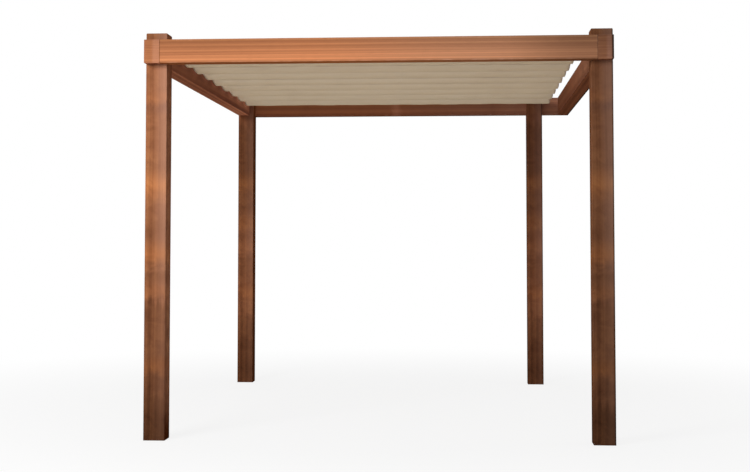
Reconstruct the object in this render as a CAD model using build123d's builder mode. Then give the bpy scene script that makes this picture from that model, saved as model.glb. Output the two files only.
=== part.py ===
"""Wooden pergola: four posts, a rim of beams, and a waved canopy hung on two wire ropes.

Millimetres, +Z up. The origin is on the ground under the middle of the frame, +X is to the
right and +Y to the rear.
"""
import os

from build123d import *

os.makedirs("parts", exist_ok=True)

# Timber frame, measured over the outer faces of the corner posts
OUTER_WIDTH = 3030
OUTER_DEPTH = 3600
POST_SIDE = 140
POST_ARRIS = 5
POST_HEAD_RISE = 50
HEAD_CHAMFER_SHARE = 0.8
REAR_RIGHT_INSET = 248

BEAM_THICKNESS = 100
BEAM_HEIGHT = 154
BEAM_UNDERSIDE = 2446
BEAM_PROUD = 60
BEAM_ARRIS = 3

# Canopy cloth and its bars
CANOPY_LEFT_GAP = 10
CANOPY_RIGHT_GAP = 95
CANOPY_POST_GAP = 16
WAVE_COUNT = 9
WAVE_SAG = 38
CLOTH_THICKNESS = 2
POCKET_CLOTH_SHARE = 0.75
BAR_SIDE = 12
BAR_EDGE = 1.5
BAR_OVERHANG = 4

# Wire ropes, their fixings and the clips that hang the bars on them
ROPE_DIAMETER = 4
ROPE_SPACING = 1700
ROPE_BELOW_BEAM_TOP = 22
ROPE_ABOVE_BAR = 14
ROPE_SEAT_DEPTH = 16
ANCHOR_PLATE_SIDE = 36
ANCHOR_PLATE_CORNER = 5
ANCHOR_PLATE_THICKNESS = 6
ANCHOR_BOSS_DIAMETER = 15
ANCHOR_BOSS_CHAMFER = 1.5
FRONT_BOSS_LENGTH = 28
REAR_BOSS_LENGTH = 10
TENSIONER_LENGTH = 40
TENSIONER_ACROSS_FLATS = 13
TENSIONER_CHAMFER = 1
RUNNER_LENGTH = 20
RUNNER_WALL = 3
RUNNER_NECK = 12
RUNNER_TOP = 4
RUNNER_LIP_DROP = 3
RUNNER_CHAMFER = 1.5
WINDOW_GAP = 8
WINDOW_FLOOR_DROP = 5

FIT = 0.3
OVERRUN = 20

# Places worked out from the sizes above
BEAM_TOP = BEAM_UNDERSIDE + BEAM_HEIGHT
POST_TOP = BEAM_TOP + POST_HEAD_RISE
SIDE_BEAM_X = OUTER_WIDTH / 2 - BEAM_THICKNESS / 2
SIDE_BEAM_INNER_X = OUTER_WIDTH / 2 - BEAM_THICKNESS
END_BEAM_Y = OUTER_DEPTH / 2 + BEAM_PROUD - BEAM_THICKNESS / 2
END_BEAM_INNER_Y = OUTER_DEPTH / 2 + BEAM_PROUD - BEAM_THICKNESS
CORNER_POST_X = OUTER_WIDTH / 2 - POST_SIDE / 2
CORNER_POST_Y = OUTER_DEPTH / 2 - POST_SIDE / 2

CANOPY_LEFT = -SIDE_BEAM_INNER_X + CANOPY_LEFT_GAP
CANOPY_RIGHT = SIDE_BEAM_INNER_X - CANOPY_RIGHT_GAP
CANOPY_WIDTH = CANOPY_RIGHT - CANOPY_LEFT
CANOPY_CENTER_X = (CANOPY_LEFT + CANOPY_RIGHT) / 2
ROPE_X = {"left": CANOPY_CENTER_X - ROPE_SPACING / 2, "right": CANOPY_CENTER_X + ROPE_SPACING / 2}
ROPE_Z = BEAM_TOP - ROPE_BELOW_BEAM_TOP
BAR_Z = ROPE_Z - ROPE_ABOVE_BAR
LAST_BAR_Y = OUTER_DEPTH / 2 - POST_SIDE - CANOPY_POST_GAP
WAVE_PITCH = 2 * LAST_BAR_Y / WAVE_COUNT
BAR_YS = [WAVE_PITCH * index - LAST_BAR_Y for index in range(WAVE_COUNT + 1)]
POCKET_SIDE = BAR_SIDE + 2 * FIT
POCKET_CLOTH = CLOTH_THICKNESS * POCKET_CLOTH_SHARE
CREST_TOP_Z = BAR_Z - POCKET_SIDE / 2 - POCKET_CLOTH / 2


def keep(builder, label):
    """Name the finished piece and write it to its own file."""
    builder.part.label = label
    export_step(builder.part, f"parts/{label}.step")


def make_post(label, center_x, end, side=0):
    """One post, with its head housed for the end beam and, at a corner, for the side beam.

    end is -1 at the front and 1 at the rear; side is -1 at the left, 1 at the right and 0 where
    no side beam meets the post.
    """
    with BuildPart() as post:
        with BuildSketch(Plane.XY) as footing:
            with Locations((center_x, end * CORNER_POST_Y)):
                Rectangle(POST_SIDE, POST_SIDE)
            fillet(footing.vertices(), POST_ARRIS)
        extrude(amount=POST_TOP)
        chamfer(post.faces().sort_by(Axis.Z)[-1].edges(), POST_ARRIS * HEAD_CHAMFER_SHARE)
        with BuildSketch(Plane.XY.offset(BEAM_UNDERSIDE)):
            with Locations((center_x, end * END_BEAM_Y)):
                Rectangle(POST_SIDE + 2 * OVERRUN, BEAM_THICKNESS)
            if side:
                with Locations((side * SIDE_BEAM_X, end * CORNER_POST_Y)):
                    Rectangle(BEAM_THICKNESS, POST_SIDE + 2 * OVERRUN)
        extrude(amount=BEAM_HEIGHT, mode=Mode.SUBTRACT)
    keep(post, label)


make_post("post_front_left", -CORNER_POST_X, end=-1, side=-1)
make_post("post_front_right", CORNER_POST_X, end=-1, side=1)
make_post("post_rear_left", -CORNER_POST_X, end=1, side=-1)
make_post("post_rear_right", CORNER_POST_X - REAR_RIGHT_INSET, end=1)


def make_side_beam(label, side):
    """A side beam, running through from the front face to the rear face of the rim."""
    with BuildPart() as beam:
        with BuildSketch(Plane.XZ.offset(-OUTER_DEPTH / 2 - BEAM_PROUD)) as section:
            with Locations((side * SIDE_BEAM_X, BEAM_UNDERSIDE + BEAM_HEIGHT / 2)):
                Rectangle(BEAM_THICKNESS, BEAM_HEIGHT)
            fillet(section.vertices(), BEAM_ARRIS)
        extrude(amount=OUTER_DEPTH + 2 * BEAM_PROUD)
    keep(beam, label)


def make_end_beam(label, end):
    """The front or rear beam, butted between the side beams and let into the posts."""
    with BuildPart() as beam:
        with BuildSketch(Plane.YZ.offset(-SIDE_BEAM_INNER_X)) as section:
            with Locations((end * END_BEAM_Y, BEAM_UNDERSIDE + BEAM_HEIGHT / 2)):
                Rectangle(BEAM_THICKNESS, BEAM_HEIGHT)
            fillet(section.vertices(), BEAM_ARRIS)
        extrude(amount=2 * SIDE_BEAM_INNER_X)
    keep(beam, label)


make_side_beam("beam_left", side=-1)
make_side_beam("beam_right", side=1)
make_end_beam("beam_front", end=-1)
make_end_beam("beam_rear", end=1)


def wave_line(height):
    """The cloth's line at one height of its crests: flat under each bar, and hanging in an arc between."""
    for y in BAR_YS:
        Line((y - POCKET_SIDE / 2, height), (y + POCKET_SIDE / 2, height))
    for y, next_y in zip(BAR_YS, BAR_YS[1:]):
        ThreePointArc(
            (y + POCKET_SIDE / 2, height),
            ((y + next_y) / 2, height - WAVE_SAG),
            (next_y - POCKET_SIDE / 2, height),
        )


# The canopy: one sheet in waves, with a pocket sewn over each bar and left open at the clips
with BuildPart() as canopy:
    with BuildSketch(Plane.YZ.offset(CANOPY_LEFT)):
        with BuildLine():
            wave_line(CREST_TOP_Z)
            wave_line(CREST_TOP_Z - CLOTH_THICKNESS)
            for y in (BAR_YS[0] - POCKET_SIDE / 2, BAR_YS[-1] + POCKET_SIDE / 2):
                Line((y, CREST_TOP_Z), (y, CREST_TOP_Z - CLOTH_THICKNESS))
        make_face()
    extrude(amount=CANOPY_WIDTH, clean=False)
    with BuildSketch(Plane.YZ.offset(CANOPY_LEFT)) as pockets:
        with Locations([(y, BAR_Z) for y in BAR_YS]):
            Rectangle(POCKET_SIDE + 2 * POCKET_CLOTH, POCKET_SIDE + 2 * POCKET_CLOTH)
        chamfer(pockets.vertices().group_by(Axis.Y)[-1], BAR_EDGE)
        with Locations([(y, BAR_Z) for y in BAR_YS]):
            Rectangle(POCKET_SIDE, POCKET_SIDE, mode=Mode.SUBTRACT)
    extrude(amount=CANOPY_WIDTH, clean=False)
    with BuildSketch(Plane.XY.offset(BAR_Z - WINDOW_FLOOR_DROP)):
        with Locations([(x, y) for x in ROPE_X.values() for y in BAR_YS]):
            Rectangle(RUNNER_LENGTH + 2 * WINDOW_GAP, POCKET_SIDE + 2 * OVERRUN)
    extrude(amount=ROPE_ABOVE_BAR, mode=Mode.SUBTRACT, clean=False)
keep(canopy, "canopy")

# The bars in the pockets, counted from the front
for number, y in enumerate(BAR_YS, start=1):
    with BuildPart() as bar:
        with BuildSketch(Plane.YZ.offset(CANOPY_LEFT - BAR_OVERHANG)) as section:
            with Locations((y, BAR_Z)):
                Rectangle(BAR_SIDE, BAR_SIDE)
            chamfer(section.vertices(), BAR_EDGE)
        extrude(amount=CANOPY_WIDTH + 2 * BAR_OVERHANG)
    keep(bar, f"canopy_bar_{number:02d}")


def make_anchor(label, x, end, boss_length):
    """A plate on the beam's inner face, with a round boss that is bored for what it holds."""
    base = Plane((x, end * END_BEAM_INNER_Y, ROPE_Z), x_dir=(1, 0, 0), z_dir=(0, -end, 0))
    with BuildPart() as anchor:
        with BuildSketch(base) as plate:
            Rectangle(ANCHOR_PLATE_SIDE, ANCHOR_PLATE_SIDE)
            chamfer(plate.vertices(), ANCHOR_PLATE_CORNER)
        extrude(amount=ANCHOR_PLATE_THICKNESS)
        with BuildSketch(base.offset(ANCHOR_PLATE_THICKNESS)):
            Circle(ANCHOR_BOSS_DIAMETER / 2)
        extrude(amount=boss_length)
        nose = anchor.edges().filter_by(GeomType.CIRCLE).sort_by(Axis.Y)
        chamfer(nose[-1] if end < 0 else nose[0], ANCHOR_BOSS_CHAMFER)
        with BuildSketch(base.offset(ANCHOR_PLATE_THICKNESS + boss_length)):
            Circle(ROPE_DIAMETER / 2 + FIT)
        extrude(amount=-min(ROPE_SEAT_DEPTH, boss_length), mode=Mode.SUBTRACT)
    keep(anchor, label)


def make_tensioner(label, x):
    """The six-sided screw sleeve on the rear anchor's boss, which draws the rope tight."""
    seat = END_BEAM_INNER_Y - ANCHOR_PLATE_THICKNESS - REAR_BOSS_LENGTH
    base = Plane((x, seat, ROPE_Z), x_dir=(1, 0, 0), z_dir=(0, -1, 0))
    with BuildPart() as tensioner:
        with BuildSketch(base):
            RegularPolygon(TENSIONER_ACROSS_FLATS / 2, side_count=6, major_radius=False)
        extrude(amount=TENSIONER_LENGTH)
        chamfer(tensioner.faces().sort_by(Axis.Y)[0].edges(), TENSIONER_CHAMFER)
        with BuildSketch(base):
            Circle(ROPE_DIAMETER / 2 + FIT)
        extrude(amount=TENSIONER_LENGTH, mode=Mode.SUBTRACT)
    keep(tensioner, label)


def make_rope(label, x):
    """The taut wire rope, from its seat in the front anchor to its seat in the tensioner."""
    front = -END_BEAM_INNER_Y + ANCHOR_PLATE_THICKNESS + FRONT_BOSS_LENGTH - ROPE_SEAT_DEPTH
    rear = END_BEAM_INNER_Y - ANCHOR_PLATE_THICKNESS - REAR_BOSS_LENGTH
    with BuildPart() as rope:
        with BuildSketch(Plane((x, front, ROPE_Z), x_dir=(1, 0, 0), z_dir=(0, 1, 0))):
            Circle(ROPE_DIAMETER / 2)
        extrude(amount=rear - front)
    keep(rope, label)


def make_runners(label, x):
    """The clips on one rope: each sits astride a bar and slides on the rope."""
    saddle_width = POCKET_SIDE + 2 * RUNNER_WALL
    saddle_height = RUNNER_LIP_DROP + POCKET_SIDE / 2 + RUNNER_WALL
    clip_height = RUNNER_LIP_DROP + ROPE_ABOVE_BAR + ROPE_DIAMETER / 2 + RUNNER_TOP
    with BuildPart() as runners:
        with BuildSketch(Plane.YZ.offset(x - RUNNER_LENGTH / 2)):
            with Locations([(y, BAR_Z - RUNNER_LIP_DROP) for y in BAR_YS]):
                Rectangle(saddle_width, saddle_height, align=(Align.CENTER, Align.MIN))
                Rectangle(RUNNER_NECK, clip_height, align=(Align.CENTER, Align.MIN))
            with Locations([(y, BAR_Z) for y in BAR_YS]):
                Rectangle(POCKET_SIDE, POCKET_SIDE, mode=Mode.SUBTRACT)
        extrude(amount=RUNNER_LENGTH)
        chamfer(runners.faces().group_by(Axis.Z)[-1].edges(), RUNNER_CHAMFER)
        with BuildSketch(Plane((x, BAR_YS[0] - OVERRUN, ROPE_Z), x_dir=(1, 0, 0), z_dir=(0, 1, 0))):
            Circle(ROPE_DIAMETER / 2 + FIT)
        extrude(amount=BAR_YS[-1] - BAR_YS[0] + 2 * OVERRUN, mode=Mode.SUBTRACT)
    keep(runners, label)


for hand, rope_x in ROPE_X.items():
    make_anchor(f"rope_anchor_front_{hand}", rope_x, end=-1, boss_length=FRONT_BOSS_LENGTH)
    make_anchor(f"rope_anchor_rear_{hand}", rope_x, end=1, boss_length=REAR_BOSS_LENGTH)
    make_tensioner(f"rope_tensioner_{hand}", rope_x)
    make_rope(f"wire_rope_{hand}", rope_x)
    make_runners(f"rope_runners_{hand}", rope_x)
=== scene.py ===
# %% [markdown]
# # A wooden pergola with a waved canopy
# The construction comes ready made: posts, beams, bars, ropes and clips stand in one shared frame,
# in metres, with +Z up and the front at -Y. This lesson dresses it. The timber keeps its own solids
# and gets a grain that runs through each piece. The cloth, the ropes and the small hardware are
# modelled here, because a plain solid can't show a weave, a strand or a screw.

# %% Load the frame
import math
import random

import bmesh
import bpy
from mathutils import Matrix, Vector


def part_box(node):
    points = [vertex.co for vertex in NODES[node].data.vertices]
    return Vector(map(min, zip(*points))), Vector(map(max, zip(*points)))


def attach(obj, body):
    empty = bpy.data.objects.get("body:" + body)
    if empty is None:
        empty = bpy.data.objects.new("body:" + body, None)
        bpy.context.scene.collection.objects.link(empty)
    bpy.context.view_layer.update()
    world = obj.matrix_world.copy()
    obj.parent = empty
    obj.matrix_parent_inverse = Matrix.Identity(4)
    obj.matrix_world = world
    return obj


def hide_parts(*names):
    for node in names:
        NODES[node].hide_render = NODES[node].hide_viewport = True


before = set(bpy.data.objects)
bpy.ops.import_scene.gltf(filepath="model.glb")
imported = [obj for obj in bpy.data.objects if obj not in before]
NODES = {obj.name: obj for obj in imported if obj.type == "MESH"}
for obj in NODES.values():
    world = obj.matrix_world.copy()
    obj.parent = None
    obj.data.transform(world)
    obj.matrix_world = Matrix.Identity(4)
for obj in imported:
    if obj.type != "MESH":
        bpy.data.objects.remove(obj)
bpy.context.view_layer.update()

# %% [markdown]
# ## Writing finishes as sums
# A finish is a tree of nodes. Placing each Math node by hand hides what is worked out, so a small
# class wraps an output socket and lets Python's own signs add the Math nodes. Every other node comes
# from one method, which sets the node up first and then fills or links its sockets.

# %% A socket that can be added and multiplied


class Link:
    """An output socket of a finish; sums and products with it become Math nodes."""

    def __init__(self, finish, socket):
        self.finish = finish
        self.socket = socket

    def math(self, operation, *others):
        terms = dict(enumerate((self, *others)))
        return self.finish.node("ShaderNodeMath", {"operation": operation}, terms)

    def __add__(self, other):
        return self.math("ADD", other)

    __radd__ = __add__

    def __mul__(self, other):
        return self.math("MULTIPLY", other)

    __rmul__ = __mul__

    def __sub__(self, other):
        return self.math("SUBTRACT", other)

    def __rsub__(self, other):
        return self * -1 + other

    def __truediv__(self, other):
        return self.math("DIVIDE", other)

    def __pow__(self, other):
        return self.math("POWER", other)

    def __abs__(self):
        return self.math("ABSOLUTE")

    def least(self, other):
        return self.math("MINIMUM", other)

    def most(self, other):
        return self.math("MAXIMUM", other)

    def step(self, low, high):
        """0 below low, 1 above high, and a smooth rise between them; high may be the smaller."""
        return self.finish.node(
            "ShaderNodeMapRange", {"interpolation_type": "SMOOTHSTEP"}, {0: self, 1: low, 2: high}
        )


print("sums of sockets ready")

# %% A finish, node by node


class Finish:
    """One material, or any other node tree, built node by node."""

    def __init__(self, name, tree=None):
        if tree is None:
            self.material = bpy.data.materials.new(name)
            self.material.use_nodes = True
            tree = self.material.node_tree
            self.shader = tree.nodes["Principled BSDF"]
        self.tree = tree

    def node(self, kind, settings=None, inputs=None, output=0):
        made = self.tree.nodes.new(kind)
        for key, value in (settings or {}).items():
            if key == "stops":
                self.set_stops(made.color_ramp, value)
            else:
                setattr(made, key, value)
        for key, value in (inputs or {}).items():
            self.fill(made.inputs[key], value)
        return Link(self, made.outputs[output])

    def set_stops(self, ramp, stops):
        while len(ramp.elements) < len(stops):
            ramp.elements.new(1.0)
        for element, (place, colour) in zip(ramp.elements, stops):
            element.position = place
            element.color = (*colour, 1.0)

    def fill(self, socket, value):
        if isinstance(value, Link):
            self.tree.links.new(value.socket, socket)
        elif socket.type == "RGBA":
            socket.default_value = (*value, 1.0)
        else:
            socket.default_value = value

    def surface(self, **inputs):
        for key, value in inputs.items():
            self.fill(self.shader.inputs[key.replace("_", " ")], value)

    def place(self):
        return self.node("ShaderNodeTexCoord", output="Object")

    def apart(self, vector):
        split = self.node("ShaderNodeSeparateXYZ", inputs={0: vector})
        return [Link(self, socket) for socket in split.socket.node.outputs]

    def vector(self, x, y, z):
        return self.node("ShaderNodeCombineXYZ", inputs={0: x, 1: y, 2: z})

    def noise(self, vector, scale=1.0, detail=2.0, roughness=0.5, distortion=0.0):
        inputs = {"Vector": vector, "Scale": scale, "Detail": detail}
        inputs.update({"Roughness": roughness, "Distortion": distortion})
        return self.node("ShaderNodeTexNoise", inputs=inputs)

    def ramp(self, stops, value):
        return self.node("ShaderNodeValToRGB", {"stops": stops}, {0: value})

    def blend(self, factor, first, second, way="MIX"):
        settings = {"data_type": "RGBA", "blend_type": way}
        return self.node("ShaderNodeMix", settings, {0: factor, 6: first, 7: second}, output=2)

    def tint(self, factor, colour, shade):
        """A colour times a shade, as far as the factor says."""
        return self.blend(factor, colour, shade, "MULTIPLY")

    def bump(self, height, strength, distance):
        inputs = {"Height": height, "Strength": strength, "Distance": distance}
        return self.node("ShaderNodeBump", inputs=inputs)


print("finish tools ready")

# %% [markdown]
# ## Stained timber
# The posts and beams are softwood with a red-brown stain. An image wrapped round a piece would break
# at every edge, so each finish is worked out in the solid. For that, a member needs its own
# directions: along the grain, and the two across it, measured from its middle. It also needs masks
# for the faces that get painted light and shade: the +X side, turned from the key lamp, and the
# underside.

# %% A timber's own directions
FACE_OFF, FACE_ON = 0.5, 0.9


class Timber(Finish):
    """The finish of one member, with its directions, its faces and its edges as links."""

    def __init__(self, name, along):
        super().__init__("timber_" + name)
        low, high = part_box(name)
        middle = (low + high) / 2
        half = (high - low) / 2
        side, other = [axis for axis in range(3) if axis != along]
        self.centred = self.node(
            "ShaderNodeVectorMath", {"operation": "SUBTRACT"}, {0: self.place(), 1: tuple(middle)}
        )
        places = self.apart(self.centred)
        self.length, self.side, self.other = places[along], places[side], places[other]
        self.side_half, self.other_half = half[side], half[other]
        self.reading = self.length + middle[along]
        self.gaps = [half[axis] - abs(places[axis]) for axis in range(3)]
        self.end_gap = self.gaps[along]
        normal = self.apart(self.node("ShaderNodeTexCoord", output="Normal"))
        self.front = abs(normal[side]).step(FACE_ON, FACE_OFF)
        self.end = abs(normal[along]).step(FACE_OFF, FACE_ON)
        # Masks for painted light and shade: the +X faces, turned from the key lamp, and the undersides.
        self.shade_side = normal[0].step(FACE_OFF, FACE_ON)
        self.underside = normal[2].step(-FACE_OFF, -FACE_ON)


print("timber directions ready")

# %% [markdown]
# ## Growth rings and flames
# On real timber the stripes on the faces are growth rings cut lengthwise, and the same rings show as
# streaks on the ends. A ring is a distance from the heart of the tree, so the pattern is noise read
# along the distance from a heart line that lies beside the piece, bent a little by slower noise. The
# posts also have dark and amber flames across the grain.

# %% Rings and flames
RING_BROAD, BROAD_ALONG = 38.0, 0.3
RING_FINE, FINE_ALONG, FINE_SEED = 125.0, 0.8, 4
BEND_ACROSS, BEND_ALONG, BEND_DEPTH = 3, 0.7, 0.03
SWAY_ACROSS, SWAY_ALONG, SWAY_DEPTH = 11, 3, 0.005
FLAME_ACROSS, FLAME_ALONG = 9, 11


def rings(wood, heart, seed, bow):
    """Broad and fine growth rings and their bend, as noise about 0, round a heart line."""
    length, side, other = wood.length, wood.side, wood.other
    slow = wood.vector(side * BEND_ACROSS, other * BEND_ACROSS, length * BEND_ALONG + seed)
    bend = wood.noise(slow, detail=3.0) - 0.5
    quick = wood.vector(side * SWAY_ACROSS, other * SWAY_ACROSS, length * SWAY_ALONG - seed)
    sway = wood.noise(quick, detail=2.0) - 0.5
    from_side, from_other = side - heart[0], other - heart[1]
    ring = (from_side * from_side + from_other * from_other) ** 0.5
    ring = ring + bend * (BEND_DEPTH * bow) + sway * (SWAY_DEPTH * bow)
    broad_place = wood.vector(ring * RING_BROAD, length * BROAD_ALONG * bow, seed)
    broad = wood.noise(broad_place, detail=1.5) - 0.5
    fine_place = wood.vector(ring * RING_FINE, length * FINE_ALONG * bow, seed + FINE_SEED)
    fine = wood.noise(fine_place, detail=3.0) - 0.5
    return broad, fine, bend


def flames_across(wood, seed):
    """Patches that lie across the grain, as noise about 0."""
    place = wood.vector(
        wood.side * FLAME_ACROSS, wood.other * FLAME_ACROSS, wood.length * FLAME_ALONG + seed
    )
    return wood.noise(place, detail=3.0, roughness=0.6, distortion=0.5) - 0.5


print("rings and flames ready")

# %% [markdown]
# ## Sapwood, sawn ends and wear
# Sapwood is the pale outer wood of the tree, and shows as a strip along one side of a post. The ends
# of the side beams are sawn across, so they show the rings as lines. The stain is rubbed thin along
# the arrises, in patches, and fine dark pores run with the grain. Each of these is one mask, and a
# mask keeps its edges soft where a painted line wouldn't.

# %% Sapwood, sawn ends and wear
STAIN_DARK = (0.185, 0.064, 0.029)
STAIN_MID = (0.370, 0.139, 0.062)
STAIN_AMBER = (0.600, 0.245, 0.100)
STAIN = [(0.18, STAIN_DARK), (0.5, STAIN_MID), (0.86, STAIN_AMBER)]
SAP_DARK = (0.430, 0.196, 0.114)
SAP_PALE = (0.640, 0.312, 0.196)
SAP = [(0.2, SAP_DARK), (0.8, SAP_PALE)]
SAP_EDGE, SAP_WANDER = (-0.5, 0.75), 0.5
SAP_FADE, SAP_AT_FOOT = (-0.55, 0.1), 0.4
SAWN_ACROSS, SAWN_LINES = 2, 1.6
SAWN_CONTRAST, SAWN_LEVEL = 0.9, 0.12
SAWN_SAP_EDGE, SAWN_SAP_WANDER, SAWN_SAP_SHARE = (0.0, 0.45), 0.2, 0.35
ARRIS_WEAR, ARRIS_SHARE = 0.011, 0.3
WEAR_PATCHES, WEAR_EDGE = 14.0, (0.44, 0.68)
PORE_ACROSS, PORE_ALONG = 700.0, 14.0
PORE_EDGE, PORE_SHARE = (0.60, 0.72), 0.3


def sapwood(wood, colour, stripe, bend, share):
    """A pale strip along one side of the face, weaker towards the foot."""
    strip = (wood.side / wood.side_half + bend * SAP_WANDER).step(*SAP_EDGE)
    strip = strip * (wood.length.step(*SAP_FADE) * (1 - SAP_AT_FOOT) + SAP_AT_FOOT)
    return wood.blend(strip * wood.front * share, colour, wood.ramp(SAP, stripe))


def sawn_end(wood, colour, seed, shade):
    """The ends, where the rings are cut across and show as lines."""
    place = wood.vector(wood.side * SAWN_ACROSS, wood.other * RING_BROAD * SAWN_LINES, seed)
    lines = wood.noise(place, detail=3.0, roughness=0.6)
    sawn = wood.ramp(STAIN, lines * SAWN_CONTRAST + SAWN_LEVEL)
    strip = (wood.side / wood.side_half + lines * SAWN_SAP_WANDER).step(*SAWN_SAP_EDGE)
    sawn = wood.blend(strip * SAWN_SAP_SHARE, sawn, SAP_PALE)
    return wood.blend(wood.end, colour, wood.tint(1.0, sawn, shade))


def worn(wood, colour):
    """Stain rubbed thin along the arrises, and dark pores; gives the colour and both masks."""
    first, second, third = wood.gaps
    second_nearest = first.least(second).most(first.most(second).least(third))
    patches = wood.noise(wood.centred, scale=WEAR_PATCHES, detail=4.0).step(*WEAR_EDGE)
    rubbed = second_nearest.step(ARRIS_WEAR, 0.0) * patches
    colour = wood.blend(rubbed * ARRIS_SHARE, colour, SAP_PALE)
    place = wood.vector(
        wood.side * PORE_ACROSS, wood.other * PORE_ACROSS, wood.length * PORE_ALONG
    )
    pores = wood.noise(place, detail=1.0).step(*PORE_EDGE)
    return wood.blend(pores * PORE_SHARE, colour, STAIN_DARK), rubbed, pores


print("sapwood, ends and wear ready")

# %% [markdown]
# ## Painted shade, washes and bands
# No two faces of the frame keep the same colour here, and most of the difference is painted light
# and shade. The +X side and the underside get painted light and shade, the ends get painted shade
# with some dirt, and the +X edges and lower edges get painted shade. On the +X side the feet and
# the wood under the beams get painted shade. Washes change the colour from one place to another along
# the member; they are painted light and shade, with some uneven stain. Bands change it round one
# place, as flames in the stain. Both follow the wood, so they stay put when the camera moves.

# %% Painted shade, washes and bands
# Painted shade: its reach at the ends, the painted shadow along the +X and lower edges, its spans at
# the foot and under the beams on the +X side, and its tint there.
JOINT_SHADE_AND_DIRT = 0.008
RIM_SHADE_WIDTH, RIM_SHADE_CORE = 0.012, 0.6
LOWER_EDGE_SHADE = 0.018
FOOT_SHADE_SPAN, UNDER_BEAM_SHADE_SPAN = (0.30, 0.02), (2.15, 2.38)
SIDE_SHADE_TINT = (0.36, 0.21, 0.10)
SHADE_SIDE_SPARE = 0.4
WASH_RAGGED = 0.2
BAND_BEND, BAND_FLAMES, BAND_REACH = 0.1, 0.12, 1.2


def grey(level):
    """A shade without a hue."""
    return (level, level, level)


def shaded(
    wood, colour, tone, shade_side_tint=grey(1.0), under=grey(1.0),
    lift=0.0, joint=0.0, rim=0.0, rim_shade_width=RIM_SHADE_WIDTH, lower_edge_shade=0.0,
):
    """The member's own tone, with painted light and shade on its +X side and underside, painted shade
    with some dirt at its ends, painted shade along its +X and lower edges, and darker towards the top.
    """
    # Painted light and shade on the +X side, turned from the key lamp.
    colour = wood.tint(wood.shade_side, colour, shade_side_tint)
    # Painted light and shade on the underside.
    colour = wood.tint(wood.underside, colour, under)
    # Darker towards the top and lighter towards the bottom.
    level = 1 - wood.other / wood.other_half * lift
    # Painted shade with some dirt near the ends.
    level = level * (1 - wood.end_gap.step(JOINT_SHADE_AND_DIRT, 0.0) * joint)
    # Painted shadow along the +X edge of the faces that don't face across it.
    edge = (wood.side - wood.side_half + rim_shade_width).step(0.0, rim_shade_width * RIM_SHADE_CORE)
    level = level * (1 - edge * wood.front * rim)
    # Painted shade along the lower edge.
    level = level * (1 - (wood.other + wood.other_half).step(LOWER_EDGE_SHADE, 0.0) * lower_edge_shade)
    parts = {number: level * part for number, part in enumerate(tone)}
    return wood.tint(1.0, colour, wood.node("ShaderNodeCombineColor", inputs=parts))


def painted_washes_and_bands(
    wood, colour, broad, bend, flames, foot_shade=0.0, under_beam_shade=0.0, underside_spare=0.0, wash=(), bands=()
):
    """Painted shade on the +X side at the foot and under the beams, then washes of painted light and
    shade, with some uneven stain, and bands of flames along the length.
    """
    # Painted shade on the +X side near the foot and just under the beams.
    foot_and_beam_shade = wood.reading.step(*FOOT_SHADE_SPAN) * foot_shade + wood.reading.step(*UNDER_BEAM_SHADE_SPAN) * under_beam_shade
    colour = wood.tint(wood.shade_side * foot_and_beam_shade, colour, SIDE_SHADE_TINT)
    # Washes and bands fall less on the +X side and on the underside.
    wash_share = 1 - wood.shade_side * SHADE_SIDE_SPARE - wood.underside * underside_spare
    # Washes: painted light and shade along the member, with some uneven stain.
    for start, stop, shade in wash:
        reach = (wood.reading + broad * WASH_RAGGED).step(start, stop)
        colour = wood.tint(reach * wash_share, colour, shade)
    for centre, spread, shade in bands:
        away = abs(wood.reading + bend * BAND_BEND + flames * BAND_FLAMES - centre)
        colour = wood.tint(away.step(spread * BAND_REACH, 0.0) * wash_share, colour, shade)
    return colour


print("shade and weather ready")

# %% [markdown]
# ## One finish for each member
# The layers are put on in this order: the grain, the sapwood, the sawn ends, the wear, the painted
# light and shade of each face, and then the painted shade, washes and bands along the length. Rough
# stained wood has no gloss of its own, so its specular level is nought, and the bump of the grain
# catches the light instead.

# %% Timber finish
BROAD_SHARE, FINE_SHARE, STRIPE_LEVEL = 1.2, 0.8, 0.5
ROUGH, ROUGH_FINE, ROUGH_PORES, ROUGH_RUBBED = 0.62, 0.25, 0.12, 0.08
GRAIN_FINE, GRAIN_BROAD, GRAIN_PORES = 0.5, 0.3, 0.45
GRAIN_BUMP, GRAIN_DEPTH = 0.35, 0.0012


def timber(
    name, along, heart, tone, seed, stripes=1.0, bow=1.0, flame=0.0, sap=0.0, cap=None,
    shade=None, washes=None,
):
    """A stained timber. along is the grain's axis, heart the heart line's place across it."""
    wood = Timber(name, along)
    broad, fine, bend = rings(wood, heart, seed, bow)
    flames = flames_across(wood, seed)
    stripe = (broad * BROAD_SHARE + fine * FINE_SHARE) * stripes + STRIPE_LEVEL
    colour = wood.ramp(STAIN, stripe + flames * flame)
    if sap:
        colour = sapwood(wood, colour, stripe, bend, sap)
    if cap:
        colour = sawn_end(wood, colour, seed, [own / whole for own, whole in zip(cap, tone)])
    colour, rubbed, pores = worn(wood, colour)
    # Painted light and shade on the faces, then painted shade, washes and bands along the length.
    colour = shaded(wood, colour, tone, **(shade or {}))
    colour = painted_washes_and_bands(wood, colour, broad, bend, flames, **(washes or {}))
    height = fine * GRAIN_FINE + broad * GRAIN_BROAD - pores * GRAIN_PORES
    wood.surface(
        Base_Color=colour,
        Roughness=fine * ROUGH_FINE + pores * ROUGH_PORES + rubbed * ROUGH_RUBBED + ROUGH,
        Normal=wood.bump(height, GRAIN_BUMP, GRAIN_DEPTH),
        Specular_IOR_Level=0.0,
    )
    return wood.material


print("timber finish ready")

# %% [markdown]
# ## The look of each post and beam
# Every member has its own tone, seed and marks. A wash is painted light and shade, with some uneven
# stain, written as the place where it starts, the place where it is full, and its shade. A band is
# written as its place, its spread and its shade.
# Places are heights for the posts, and distances from the middle of the pergola for the beams. The
# front posts share their bands, and so do the rear posts.

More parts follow.
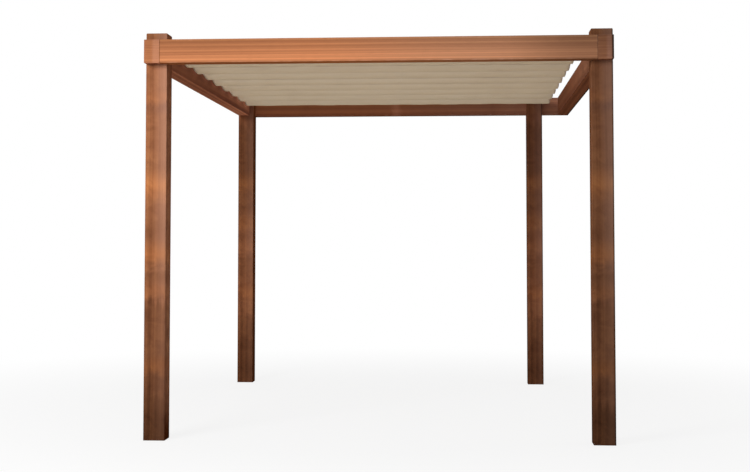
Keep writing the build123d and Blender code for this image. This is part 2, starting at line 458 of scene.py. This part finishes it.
# %% Posts
POST = dict(along=2, heart=(-0.45, 0.12), stripes=0.45, flame=0.7)
FRONT_BANDS = [
    (2.21, 0.06, (1.12, 1.09, 1.03)), (2.14, 0.06, (0.86, 0.88, 0.95)), (1.76, 0.06, grey(0.93)),
    (1.64, 0.11, (1.36, 1.28, 1.08)), (1.36, 0.10, grey(0.92)), (1.20, 0.09, (1.28, 1.18, 0.98)),
    (1.06, 0.06, grey(0.82)), (0.95, 0.06, (1.12, 1.08, 1.00)), (0.48, 0.07, (1.12, 1.05, 0.92)),
]
REAR_BANDS = [
    (1.81, 0.10, (1.40, 1.34, 1.15)), (1.58, 0.07, grey(0.92)), (1.44, 0.08, (1.18, 1.15, 1.02)),
    (1.33, 0.05, grey(0.93)), (1.23, 0.06, (1.10, 1.09, 1.05)), (1.06, 0.14, grey(0.86)),
    (0.81, 0.08, (1.18, 1.14, 1.02)), (0.56, 0.05, grey(0.92)),
]
# Washes: painted light and shade down the posts, with some uneven stain. The front posts get darker
# heads and darker steps down to the feet. The rear posts are darker from about 1.2 m up, lighter again
# above 2.3 m, and darker towards the feet.
FRONT_LEFT_WASH = [
    (2.46, 2.60, grey(0.75)), (1.60, 1.40, grey(0.94)), (0.92, 0.86, grey(0.71)),
    (0.47, 0.40, grey(0.88)), (0.33, 0.25, grey(0.75)), (0.25, 0.05, grey(0.75)),
]
FRONT_RIGHT_WASH = [
    (2.46, 2.60, grey(0.90)), (1.90, 1.50, grey(0.985)), (0.92, 0.86, grey(0.83)),
    (0.46, 0.33, grey(0.90)), (0.29, 0.20, grey(0.66)),
]
REAR_WASH = [(2.32, 2.40, grey(1.30)), (0.75, 0.40, grey(0.62)), (0.40, 0.10, grey(0.80))]
# Each post gets painted light and shade on its +X side. Where given, it also gets a painted shadow
# along its +X edge, and painted shade on its +X side at the foot and under the beam.
POSTS = {
    "post_front_left": dict(
        POST, tone=grey(0.85), seed=1.0, sap=0.9,
        shade=dict(shade_side_tint=(1.23, 1.33, 1.55)),
        washes=dict(foot_shade=1.0, under_beam_shade=0.4, wash=FRONT_LEFT_WASH, bands=FRONT_BANDS),
    ),
    "post_front_right": dict(
        POST, tone=(0.56, 0.595, 0.635), seed=1.1, sap=0.9,
        shade=dict(shade_side_tint=grey(0.7), rim=0.6),
        washes=dict(wash=FRONT_RIGHT_WASH, bands=FRONT_BANDS),
    ),
    "post_rear_left": dict(
        POST, tone=(0.84, 0.82, 0.82), seed=1.2, sap=0.7,
        shade=dict(shade_side_tint=(0.50, 0.40, 0.30)),
        washes=dict(wash=REAR_WASH + [(1.20, 1.92, grey(0.58))], bands=REAR_BANDS),
    ),
    "post_rear_right": dict(
        POST, tone=(0.72, 0.71, 0.75), seed=1.3, sap=0.8,
        shade=dict(shade_side_tint=grey(0.65), rim=0.6),
        washes=dict(wash=REAR_WASH + [(1.20, 1.92, (0.70, 0.72, 0.76))], bands=REAR_BANDS),
    ),
}


def dress(names, material):
    """Give CAD nodes their finish through their material slots."""
    for name in names:
        mesh = NODES[name].data
        mesh.materials.clear()
        mesh.materials.append(material)


for name, look in POSTS.items():
    dress([name], timber(name, **look))
print("timber finish on", len(POSTS), "posts")

# %% Beams
# Washes: painted light and shade along the beams, with some uneven stain. The front beam is darker at
# both ends and the rear beam lighter towards +X. The left beam is lighter and the right beam darker
# towards the rear.
FRONT_BEAM_WASH = [
    (-0.2, -1.4, grey(0.80)), (-0.5, 0.8, (0.97, 1.14, 1.38)), (0.75, 1.35, grey(0.64)),
]
REAR_BEAM_WASH = [(-0.6, 1.0, (0.95, 1.12, 1.42)), (0.8, 1.2, (1.3, 1.4, 1.5))]
LEFT_BEAM_WASH = [(-0.4, 1.6, (1.50, 1.48, 1.55)), (0.5, 1.3, (1.13, 1.20, 1.18))]
RIGHT_BEAM_WASH = [(-1.5, 0.6, (0.86, 0.74, 0.66)), (0.1, 0.9, grey(0.82))]
# Each beam gets painted light and shade on its underside, and the right beam on its +X side too. Where
# given, it is darker towards the top and gets painted shade at its ends, along its lower edge and along
# its +X edge.
BEAMS = {
    "beam_front": dict(
        along=0, heart=(0.1, -0.5), tone=(1.63, 1.65, 1.62), seed=5.0, stripes=0.6, bow=0.25,
        shade=dict(under=(0.68, 0.57, 0.47), lift=0.30, joint=0.6, lower_edge_shade=0.3),
        washes=dict(wash=FRONT_BEAM_WASH),
    ),
    "beam_rear": dict(
        along=0, heart=(0.1, -0.5), tone=(0.80, 0.72, 0.72), seed=7.0, bow=0.15,
        shade=dict(under=grey(0.7)),
        washes=dict(wash=REAR_BEAM_WASH, bands=[(-0.055, 0.05, (1.32, 1.38, 1.55))]),
    ),
    "beam_left": dict(
        along=1, heart=(-0.5, 0.08), tone=(0.70, 0.68, 0.857), seed=9.0, bow=0.3,
        cap=(0.97, 0.95, 0.95),
        shade=dict(under=(1.24, 1.18, 1.07), lift=0.10),
        washes=dict(wash=LEFT_BEAM_WASH),
    ),
    "beam_right": dict(
        along=1, heart=(0.5, 0.08), tone=(0.777, 0.87, 1.10), seed=11.0, stripes=0.5, bow=0.3,
        cap=(0.70, 0.76, 0.90),
        shade=dict(
            shade_side_tint=grey(0.6), under=(0.675, 0.543, 0.444), lift=0.2, rim=0.85, rim_shade_width=0.018
        ),
        washes=dict(underside_spare=1.0, wash=RIGHT_BEAM_WASH),
    ),
}

for name, look in BEAMS.items():
    dress([name], timber(name, **look))
print("timber finish on", len(BEAMS), "beams")

# %% [markdown]
# ## The waves of the canopy
# The roof is one sheet of plain woven awning cloth. It hangs in nine waves from bars in pockets that
# are sewn along its top, so from below it reads as ribs with soft shadows, and its free edges are
# scalloped. A simulation would need pins and many frames for what is a known curve, so a flat grid is
# cut to size and each vertex is lowered by the curve of its wave. No two waves sag alike, and the
# cloth is held up a little where the clips carry the bars.

# %% Sizes read from the frame
BARS = sorted(name for name in NODES if name.startswith("canopy_bar_"))
ROPES = ["wire_rope_left", "wire_rope_right"]
CLOTH = 0.0009
POCKET_PLAY = 0.0011
CLOTH_LOW, CLOTH_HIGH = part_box("canopy")
BAR_BOXES = [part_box(name) for name in BARS]
BAR_YS = [(low.y + high.y) / 2 for low, high in BAR_BOXES]
BAR_Z = (BAR_BOXES[0][0].z + BAR_BOXES[0][1].z) / 2
BAR_HALF = (BAR_BOXES[0][1].z - BAR_BOXES[0][0].z) / 2
ROPE_BOXES = [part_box(name) for name in ROPES]
ROPE_XS = [(low.x + high.x) / 2 for low, high in ROPE_BOXES]
PITCH = BAR_YS[1] - BAR_YS[0]
WAVES = len(BAR_YS) - 1
POCKET_HALF = BAR_HALF + POCKET_PLAY
CREST_Z = BAR_Z - POCKET_HALF
SAG = CREST_Z - CLOTH_LOW.z - CLOTH
print("bars every", round(PITCH, 4), "m, sag", round(SAG, 4), "m")

# %% The curve of the waves
FRONT_SAG_SHARE = 0.86
REAR_SAG_EXTRA, REAR_SAG_POWER = 0.24, 4
SAG_SPREAD = 0.02
LEAN_SPREAD = 0.05
RIPPLE, RIPPLE_TURN, RIPPLE_SHIFT = 0.0010, 23, 2.1
CLIP_PULL, CLIP_REACH = 0.0022, 0.11

draw = random.Random(7)
SAGS = []
for wave in range(WAVES):
    rear_share = (wave / (WAVES - 1)) ** REAR_SAG_POWER
    spread = draw.uniform(-SAG_SPREAD, SAG_SPREAD)
    SAGS.append(SAG * (FRONT_SAG_SHARE + REAR_SAG_EXTRA * rear_share + spread))
LEANS = [draw.uniform(-LEAN_SPREAD, LEAN_SPREAD) for _ in range(WAVES)]


def wave_drop(x, y):
    """How far the cloth hangs below its crests at a place in plan."""
    share = (y - BAR_YS[0]) / PITCH
    wave = min(max(int(share), 0), WAVES - 1)
    flat = POCKET_HALF / PITCH
    t = min(max((share - wave - flat) / (1 - 2 * flat), 0.0), 1.0)
    t = t + LEANS[wave] * math.sin(math.pi * t) ** 2
    swell = math.sin(math.pi * t)
    pull = sum(math.exp(-(((x - rope_x) / CLIP_REACH) ** 2)) for rope_x in ROPE_XS)
    ripple = RIPPLE * math.sin(x * RIPPLE_TURN + wave * RIPPLE_SHIFT) * swell**2
    return SAGS[wave] * 4 * t * (1 - t) - CLIP_PULL * pull * swell + ripple


print("waves sag from", round(min(SAGS), 4), "to", round(max(SAGS), 4), "m")

# %% Helpers for pieces of cloth


def new_piece(name, bm, material, smooth=True):
    """Turn a bmesh into a piece that rides on the frame and takes its finish from a slot."""
    mesh = bpy.data.meshes.new(name)
    bm.to_mesh(mesh)
    bm.free()
    mesh.materials.append(material)
    for face in mesh.polygons:
        face.use_smooth = smooth
    piece = bpy.data.objects.new(name, mesh)
    bpy.context.scene.collection.objects.link(piece)
    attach(piece, "root")
    return piece


def flat_cloth(bm, width, length, steps_x, steps_y):
    """A flat grid, with its flat place in metres kept as UV for the weave."""
    weave = bm.loops.layers.uv.verify()
    size = Matrix.Diagonal((width, length, 1.0, 1.0))
    grid = bmesh.ops.create_grid(
        bm, x_segments=steps_x, y_segments=steps_y, size=0.5, matrix=size
    )
    for vert in grid["verts"]:
        for loop in vert.link_loops:
            loop[weave].uv = vert.co.xy
    return grid["verts"]


def hang(bm, low, high, steps_x, steps_y, lift=0.0):
    """Cloth over a stretch of the plan, hung on the waves and lifted by a distance."""
    verts = flat_cloth(bm, high[0] - low[0], high[1] - low[1], steps_x, steps_y)
    middle = Vector(((low[0] + high[0]) / 2, (low[1] + high[1]) / 2, 0.0))
    bmesh.ops.translate(bm, verts=verts, vec=middle)
    for vert in verts:
        vert.co.z = CREST_Z + lift - wave_drop(vert.co.x, vert.co.y)


def thicken(piece, thickness):
    """Give a sheet its thickness, half to each side."""
    solid = piece.modifiers.new("thickness", "SOLIDIFY")
    solid.thickness = thickness
    solid.offset = 0.0


print("cloth helpers ready")

# %% [markdown]
# ## Awning cloth
# The cloth is a plain weave of thick, uneven yarn in a greyed beige, and light comes through it.
# Where a tape is sewn on, two layers let less light through, so the seams get a painted shade, and
# the turned edges get a painted light. A picture of cloth would stretch over the waves. Here the
# weave follows the flat sheet's own UV, and the painted seam shade follows the bars.

# %% Cloth finish
THREAD_SCALE, WEAVE_SHARE, WEAVE_BUMP, WEAVE_DEPTH = 260.0, 0.5, 0.25, 0.0004
SLUB_ACROSS, SLUB_ALONG, SLUB_SHARE = 260, 6, 0.5
BLOTCH_SCALE, BLOTCH_SHARE = 1.6, 0.7
# Painted shade along the seams at the bars, and painted light along the hems.
SEAM_REACH, SEAM_CORE, SEAM_SHARE = 0.044, 0.6, 0.56
SEAM_SHADE = (0.20, 0.126, 0.086)
HEM, HEM_EDGE, HEM_SHARE = 0.008, 0.9, 0.85
HEM_LIGHT = (0.86, 0.66, 0.46)
STITCH_ROW, STITCH_LENGTH = 0.024, 0.0045
STITCH_WIDTH, STITCH_DASH, STITCH_SHARE = (0.0011, 0.0006), (0.36, 0.30), 0.6
STITCH_COLOUR = (0.62, 0.54, 0.42)
STITCH_RISE, STITCH_SHEEN = 2, 0.2
CLOTH_ROUGH = 0.88
CLOTH_MIDDLE = (CLOTH_LOW.x + CLOTH_HIGH.x) / 2
CLOTH_HALF = (CLOTH_HIGH.x - CLOTH_LOW.x) / 2


def yarn(finish, place, flat, pale, deep):
    """The colour of uneven yarn with faint blotches."""
    u, v, w = finish.apart(flat)
    slub_warp = finish.noise(finish.vector(u * SLUB_ACROSS, v * SLUB_ALONG, w)) - 0.5
    slub_weft = finish.noise(finish.vector(u * SLUB_ALONG, v * SLUB_ACROSS, w)) - 0.5
    blotch = finish.noise(place, scale=BLOTCH_SCALE, detail=4.0, roughness=0.6) - 0.5
    shade = slub_warp * SLUB_SHARE + slub_weft * SLUB_SHARE + blotch * BLOTCH_SHARE + 0.5
    return finish.blend(shade, deep, pale)


def threads(finish, flat, direction):
    """The threads that run one way, as a wave across them."""
    inputs = {"Vector": flat, "Scale": THREAD_SCALE}
    return finish.node("ShaderNodeTexWave", {"bands_direction": direction}, inputs)


def awning_cloth(name, pale, deep):
    """Plain woven cloth: a weave, slubs, painted shade at the seams, painted light at the hems, and
    light coming through.
    """
    finish = Finish(name)
    place = finish.place()
    x, y, _ = finish.apart(place)
    flat = finish.node("ShaderNodeUVMap")
    colour = yarn(finish, place, flat, pale, deep)

    turn = ((y - BAR_YS[0]) / PITCH + 0.5).math("FRACT")
    from_bar = abs(turn - 0.5) * PITCH
    # Painted shade along the seams, where the doubled tape lies over the bar.
    seam_shade = from_bar.step(SEAM_REACH, SEAM_REACH * SEAM_CORE)
    colour = finish.blend(seam_shade * SEAM_SHARE, colour, SEAM_SHADE)
    # Painted light along the turned side edges.
    hem_light = abs(x - CLOTH_MIDDLE).step(CLOTH_HALF - HEM, CLOTH_HALF - HEM * HEM_EDGE)
    colour = finish.blend(hem_light * HEM_SHARE, colour, HEM_LIGHT)
    row = abs(from_bar - STITCH_ROW).step(*STITCH_WIDTH)
    along = finish.apart(flat)[0]
    dash = abs((along / STITCH_LENGTH).math("FRACT") - 0.5).step(*STITCH_DASH)
    stitch = row * dash
    colour = finish.blend(stitch * STITCH_SHARE, colour, STITCH_COLOUR)
    weave = threads(finish, flat, "X") * WEAVE_SHARE + threads(finish, flat, "Y") * WEAVE_SHARE
    finish.surface(
        Base_Color=colour,
        Roughness=CLOTH_ROUGH - stitch * STITCH_SHEEN,
        Normal=finish.bump(weave + stitch * STITCH_RISE, WEAVE_BUMP, WEAVE_DEPTH),
        Specular_IOR_Level=0.10,
        Subsurface_Weight=0.50,
        Subsurface_Radius=(1.0, 0.92, 0.80),
        Subsurface_Scale=0.02,
    )
    return finish.material


ECRU = awning_cloth("awning_cloth", pale=(0.565, 0.382, 0.231), deep=(0.487, 0.322, 0.193))
print("cloth finish", ECRU.name)

# %% Hang the canopy
STEPS_ACROSS = 150
STEPS_PER_WAVE = 20

bm = bmesh.new()
sheet_low = (CLOTH_LOW.x, BAR_YS[0] - POCKET_HALF)
sheet_high = (CLOTH_HIGH.x, BAR_YS[-1] + POCKET_HALF)
hang(bm, sheet_low, sheet_high, STEPS_ACROSS, STEPS_PER_WAVE * WAVES)
canopy_sheet = new_piece("canopy_sheet", bm, ECRU)
thicken(canopy_sheet, CLOTH)
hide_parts("canopy")
print("sheet", len(canopy_sheet.data.vertices), "vertices")

# %% [markdown]
# ## Pockets and hems
# Each bar lies in a tunnel: a tape of the same cloth laid over the bar and stitched to the sheet at
# both sides. The tape stops short of the clips, which reach round the bar. The side edges of the sheet
# are turned over and sewn, so a second strip follows the waves just above them. A strip is a grid
# again, and its rows are moved onto the outline of the tape.

# %% Pocket tapes
FLANGE = 0.030
FLANGE_STEPS = (1.0, 0.5)
WINDOW_HALF = 0.018
ARCH_STEPS = 10
ARCH_SQUARENESS = 0.35
TAPE_STEP = 0.03
TAPE_LIFT = CLOTH * 1.15
TAPE_CLOTH = CLOTH * 0.9
TAPE_WIDTH = FLANGE * 2 + POCKET_HALF * 6


def tape_rows(bar_y, front_flange, rear_flange):
    """Rows of a tape from front to rear: along the cloth, over the bar, and along the cloth again."""
    rows = []
    if front_flange:
        rows += [(bar_y - POCKET_HALF - FLANGE * step, None) for step in FLANGE_STEPS]
    base = CREST_Z + CLOTH
    for step in range(ARCH_STEPS + 1):
        turn = math.pi * step / ARCH_STEPS
        across = math.copysign(abs(math.cos(turn)) ** ARCH_SQUARENESS, -math.cos(turn))
        rise = math.sin(turn) ** ARCH_SQUARENESS if 0 < step < ARCH_STEPS else 0.0
        rows.append((bar_y + POCKET_HALF * across, base + (BAR_Z + POCKET_HALF - base) * rise))
    if rear_flange:
        rows += [(bar_y + POCKET_HALF + FLANGE * step, None) for step in reversed(FLANGE_STEPS)]
    return rows


def lay_tape(bm, x_low, x_high, rows):
    """One stretch of tape: a flat grid whose rows are moved onto the tape's outline."""
    steps = max(2, int((x_high - x_low) / TAPE_STEP))
    verts = flat_cloth(bm, x_high - x_low, TAPE_WIDTH, steps, len(rows) - 1)
    for vert in verts:
        row = round((vert.co.y / TAPE_WIDTH + 0.5) * (len(rows) - 1))
        y, z = rows[row]
        x = vert.co.x + (x_low + x_high) / 2
        if z is None:
            z = CREST_Z + TAPE_LIFT - wave_drop(x, y)
        vert.co = (x, y, z)


bm = bmesh.new()
stops = [CLOTH_LOW.x]
for rope_x in ROPE_XS:
    stops += [rope_x - WINDOW_HALF, rope_x + WINDOW_HALF]
stops.append(CLOTH_HIGH.x)
for number, bar_y in enumerate(BAR_YS):
    rows = tape_rows(bar_y, number > 0, number < WAVES)
    for x_low, x_high in zip(stops[::2], stops[1::2]):
        lay_tape(bm, x_low, x_high, rows)
canopy_pockets = new_piece("canopy_pockets", bm, ECRU)
thicken(canopy_pockets, TAPE_CLOTH)
print("pockets", len(canopy_pockets.data.vertices), "vertices")

# %% Side hems
HEM_STEPS = 2

bm = bmesh.new()
for x_low, x_high in ((CLOTH_LOW.x, CLOTH_LOW.x + HEM), (CLOTH_HIGH.x - HEM, CLOTH_HIGH.x)):
    low, high = (x_low, sheet_low[1]), (x_high, sheet_high[1])
    hang(bm, low, high, HEM_STEPS, STEPS_PER_WAVE * WAVES, lift=CLOTH)
canopy_hems = new_piece("canopy_hems", bm, ECRU)
thicken(canopy_hems, CLOTH)
print("hems", len(canopy_hems.data.vertices), "vertices")

# %% [markdown]
# ## The cloth as one cut sheet
# The real canopy is cut flat and then hung, so its cut length is longer than the roof is deep. It is
# measured along the curve of the waves, in short straight steps.

SLICES = 900

depth = sheet_high[1] - sheet_low[1]
line = [sheet_low[1] + depth * step / SLICES for step in range(SLICES + 1)]
drops = [wave_drop(0.0, y) for y in line]
cut_length = sum(
    math.hypot(line[step + 1] - line[step], drops[step + 1] - drops[step])
    for step in range(SLICES)
)

# %% [markdown]
# ## Metal and plastic
# The bars are drawn aluminium, the ropes and their fixings stainless steel, and the clips dark plastic.
# They are small and seen from a distance, so what tells them apart is how they take the light: fine
# lines along the draw, a haze on the metal, and a matt grain with some dust on the plastic.

# %% Metal and plastic finishes
ANCHORS = sorted(name for name in NODES if name.startswith("rope_anchor_"))
TENSIONERS = ["rope_tensioner_left", "rope_tensioner_right"]
RUNNERS = ["rope_runners_left", "rope_runners_right"]
DRAW_ALONG, DRAW_ACROSS = 9, 900
DRAW_BUMP, DRAW_ROUGH = 0.15, 0.2
HAZE_SCALE, HAZE_SHADE = 30.0, 0.8
GRAIN_SCALE, GRAIN_ROUGH, PLASTIC_BUMP = 1400.0, 0.2, 0.2
PLASTIC_ROUGH = 0.55
DUST_SCALE, DUST_EDGE, DUST_SHARE = 60.0, (0.5, 0.75), 0.2
FINE_DEPTH = 0.0003


def brushed_metal(name, colour, along, rough):
    """Drawn or turned metal, with fine lines along one axis."""
    finish = Finish(name)
    place = finish.place()
    axes = finish.apart(place)
    scales = [DRAW_ALONG if number == along else DRAW_ACROSS for number in range(3)]
    stretch = [axis * scale for axis, scale in zip(axes, scales)]
    lines = finish.noise(finish.vector(*stretch)) - 0.5
    haze = finish.noise(place, scale=HAZE_SCALE, detail=3.0)
    dull = tuple(HAZE_SHADE * part for part in colour)
    finish.surface(
        Base_Color=finish.blend(haze, dull, colour),
        Metallic=1.0,
        Roughness=lines * DRAW_ROUGH + rough,
        Normal=finish.bump(lines, DRAW_BUMP, FINE_DEPTH),
    )
    return finish.material


def moulded_plastic(name, colour, dust_colour):
    """Matt moulded plastic with a fine grain and some dust."""
    finish = Finish(name)
    place = finish.place()
    grain = finish.noise(place, scale=GRAIN_SCALE) - 0.5
    dust = finish.noise(place, scale=DUST_SCALE, detail=4.0).step(*DUST_EDGE)
    finish.surface(
        Base_Color=finish.blend(dust * DUST_SHARE, colour, dust_colour),
        Roughness=grain * GRAIN_ROUGH + PLASTIC_ROUGH,
        Normal=finish.bump(grain, PLASTIC_BUMP, FINE_DEPTH),
    )
    return finish.material


dress(BARS, brushed_metal("drawn_aluminium", (0.62, 0.62, 0.62), along=0, rough=0.38))
STEEL = brushed_metal("satin_steel", (0.58, 0.58, 0.59), along=1, rough=0.32)
dress(ANCHORS + TENSIONERS, STEEL)
dress(RUNNERS, moulded_plastic("clip_plastic", (0.06, 0.048, 0.040), (0.30, 0.27, 0.23)))
print("metal on", len(BARS + ANCHORS + TENSIONERS), "nodes, plastic on", len(RUNNERS))

# %% [markdown]
# ## Wire ropes
# A wire rope is six strands laid in a spiral round a core. At this size the strands show as a twisted
# outline, so the section is a ring with six lobes, and one spin with a step along the axis lays the
# whole rope. It is taut, between an anchor at the front and a tensioner at the rear.

# %% Lay the ropes
STRANDS = 6
GROOVE_SHARE = 0.80
LAY_DIAMETERS = 6.5
STEPS_PER_LAY = 8

for name, (low, high) in zip(ROPES, ROPE_BOXES):
    radius = (high.x - low.x) / 2
    length = high.y - low.y
    turns = length / (LAY_DIAMETERS * 2 * radius)
    steps = round(turns * STEPS_PER_LAY)
    start = Vector(((low.x + high.x) / 2, low.y, (low.z + high.z) / 2))
    bm = bmesh.new()
    ring = bmesh.ops.create_circle(bm, segments=STRANDS * 2, radius=radius)["verts"]
    for vert in ring[1::2]:
        vert.co *= GROOVE_SHARE
    turn = Matrix.Translation(start) @ Matrix.Rotation(math.radians(90), 4, "X")
    bmesh.ops.transform(bm, matrix=turn, verts=ring)
    bmesh.ops.spin(
        bm, geom=bm.verts[:] + bm.edges[:], cent=start, axis=(0.0, 1.0, 0.0),
        dvec=(0.0, length / steps, 0.0), angle=turns * 2 * math.pi, steps=steps,
        use_duplicate=False,
    )
    bmesh.ops.holes_fill(bm, edges=[edge for edge in bm.edges if edge.is_boundary])
    bmesh.ops.recalc_face_normals(bm, faces=bm.faces)
    rope = new_piece("laid_" + name, bm, STEEL)
    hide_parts(name)
    print(rope.name, len(rope.data.polygons), "faces,", round(turns), "turns")

# %% [markdown]
# ## Anchor screws
# Each anchor plate is held to its beam by four round-headed screws with a socket. A head is a disc
# that is extruded, bevelled at its rim and sunk in the middle, and sixteen copies of it are placed by
# moving the new vertices only.

# %% One screw head
SCREW_RADIUS = 0.0033
SCREW_HEAD = 0.0022
SCREW_SIDES = 18
RIM_BEVEL_SHARE = 0.55
SOCKET_RIM_SHARE = 0.25
SOCKET_DEPTH_SHARE = 0.5


def screw_head(bm):
    """One socket head, standing on the origin and facing up."""
    disc = bmesh.ops.create_circle(
        bm, cap_ends=True, segments=SCREW_SIDES, radius=SCREW_RADIUS
    )["verts"]
    top = bmesh.ops.extrude_face_region(bm, geom=[disc[0].link_faces[0]])["geom"]
    verts = [item for item in top if isinstance(item, bmesh.types.BMVert)]
    bmesh.ops.translate(bm, verts=verts, vec=(0.0, 0.0, SCREW_HEAD))
    cap = next(item for item in top if isinstance(item, bmesh.types.BMFace))
    rim = bmesh.ops.bevel(
        bm, geom=list(cap.edges), offset=SCREW_HEAD * RIM_BEVEL_SHARE,
        affect="EDGES", segments=3, profile=0.5, material=-1,
    )
    faces = (face for vert in rim["verts"] for face in vert.link_faces)
    crown = max(faces, key=lambda face: face.calc_center_median().z)
    bmesh.ops.inset_region(bm, faces=[crown], thickness=SCREW_RADIUS * SOCKET_RIM_SHARE)
    sink = (0.0, 0.0, -SCREW_HEAD * SOCKET_DEPTH_SHARE)
    bmesh.ops.translate(bm, verts=crown.verts, vec=sink)


print("screw head", SCREW_RADIUS * 2, "m across")

# %% Drive the screws
SCREW_PLACE_SHARE = 0.64
PLATE_THICKNESS = 0.006

bm = bmesh.new()
for name in ANCHORS:
    low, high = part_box(name)
    middle = (low + high) / 2
    end = 1 if middle.y > 0 else -1
    reach = (high.x - low.x) / 2 * SCREW_PLACE_SHARE
    plate_y = (high.y if end > 0 else low.y) - end * PLATE_THICKNESS
    facing = Matrix.Rotation(math.radians(90 * end), 4, "X")
    for across in (-1, 1):
        for up in (-1, 1):
            known = set(bm.verts)
            screw_head(bm)
            fresh = [vert for vert in bm.verts if vert not in known]
            spot = Vector((middle.x + across * reach, plate_y, middle.z + up * reach))
            bmesh.ops.transform(bm, matrix=Matrix.Translation(spot) @ facing, verts=fresh)
bmesh.ops.recalc_face_normals(bm, faces=bm.faces)
anchor_screws = new_piece("anchor_screws", bm, STEEL, smooth=False)
print("screws", len(anchor_screws.data.polygons), "faces")

# %% [markdown]
# ## Floor and background
# The photograph is a cut-out on white. More light would bleach the wood, so the world and the floor
# look white only to the camera, in metal and through clear things, and light the object softly. Near
# the posts the floor keeps a share of the lit paper, so that it keeps their shadow.

# %% Floor
FLOOR_RADIUS, FLOOR_SIDES = 40.0, 96
PAPER_DARK, PAPER_PALE = (0.78, 0.78, 0.77), (0.80, 0.80, 0.80)
PAPER_GRAIN, PAPER_ROUGH = 20.0, 0.9
WHITE = (1.0, 1.0, 1.0)
WHITE_NEAR = 0.86
WHITE_FADE = (2.0, 6.0)


def shown_rays(finish):
    """1 where the background is seen: by the camera, in metal or through something clear."""
    path = finish.node("ShaderNodeLightPath").socket.node
    shown = Link(finish, path.outputs["Is Camera Ray"])
    for ray in ("Is Glossy Ray", "Is Transmission Ray"):
        shown = shown.most(Link(finish, path.outputs[ray]))
    return shown


bm = bmesh.new()
bmesh.ops.create_circle(bm, cap_ends=True, radius=FLOOR_RADIUS, segments=FLOOR_SIDES)
floor_mesh = bpy.data.meshes.new("floor")
bm.to_mesh(floor_mesh)
bm.free()
floor = bpy.data.objects.new("floor", floor_mesh)
bpy.context.scene.collection.objects.link(floor)
paper = Finish("floor_paper")
x, y, _ = paper.apart(paper.place())
grain = paper.noise(paper.place(), scale=PAPER_GRAIN)
paper.surface(Base_Color=paper.blend(grain, PAPER_DARK, PAPER_PALE), Roughness=PAPER_ROUGH)
away = (x * x + y * y) ** 0.5
seen = shown_rays(paper) * (away.step(*WHITE_FADE) * (1 - WHITE_NEAR) + WHITE_NEAR)
white = paper.node("ShaderNodeEmission", inputs={"Color": WHITE, "Strength": 1.0})
lit = Link(paper, paper.shader.outputs[0])
mixed = paper.node("ShaderNodeMixShader", inputs={0: seen, 1: lit, 2: white})
paper.fill(paper.tree.nodes["Material Output"].inputs["Surface"], mixed)
floor_mesh.materials.append(paper.material)
print("floor", FLOOR_RADIUS * 2, "m across")

# %% World
AMBIENT = 0.20

world = bpy.data.worlds.new("studio")
bpy.context.scene.world = world
world.use_nodes = True
sky = Finish("studio", world.node_tree)
backdrop = world.node_tree.nodes["Background"]
sky.fill(backdrop.inputs["Color"], WHITE)
sky.fill(backdrop.inputs["Strength"], shown_rays(sky) * (1 - AMBIENT) + AMBIENT)
print("world lights with", AMBIENT, "and shows white")

# %% [markdown]
# ## Light and camera
# Three square lamps stand in for a soft studio: a key from the front left, a weak fill from the right
# and one above the cloth, which glows through it. The camera was fitted to the edges of the posts and
# beams. The photograph is cropped off centre, so the lens has a vertical shift. More tilt would make
# the posts converge.

# %% Lamps
LAMPS = {
    "key": dict(spot=(-3.4, -6.0, 3.7), target=(-0.6, -1.8, 2.0), side=2.2, watts=240),
    "fill": dict(spot=(6.0, -1.0, 2.0), target=(-1.0, 0.0, 1.6), side=3.0, watts=45),
    "overhead": dict(spot=(-0.4, 0.6, 6.0), target=(-0.4, 0.4, 2.5), side=3.0, watts=105),
}


def softbox(name, spot, target, side, watts):
    """A square lamp that faces a target."""
    lamp = bpy.data.lights.new(name, "AREA")
    lamp.size = side
    lamp.energy = watts
    made = bpy.data.objects.new(name, lamp)
    made.location = spot
    made.rotation_euler = (Vector(target) - Vector(spot)).to_track_quat("-Z", "Y").to_euler()
    bpy.context.scene.collection.objects.link(made)


for name, lamp in LAMPS.items():
    softbox(name, **lamp)
print("lamps:", [lamp.name for lamp in bpy.data.lights])

# %% Camera
PHOTO_WIDTH = 750
FOCAL_PIXELS = 1289.5
SHIFT_PIXELS = -55.7
SENSOR = 36.0
CAMERA_SPOT = (0.570, -10.084, 1.288)
CAMERA_YAW = 4.01
CAMERA_PITCH = 2.70

view = bpy.data.cameras.new("photo_view")
view.sensor_width = SENSOR
view.lens = SENSOR * FOCAL_PIXELS / PHOTO_WIDTH
view.shift_y = SHIFT_PIXELS / PHOTO_WIDTH
camera = bpy.data.objects.new("photo_view", view)
camera.location = CAMERA_SPOT
camera.rotation_euler = (math.radians(90 + CAMERA_PITCH), 0.0, math.radians(CAMERA_YAW))
bpy.context.scene.collection.objects.link(camera)
bpy.context.scene.camera = camera
bpy.context.scene.view_settings.view_transform = "Standard"
print("camera lens", round(view.lens, 2), "mm")
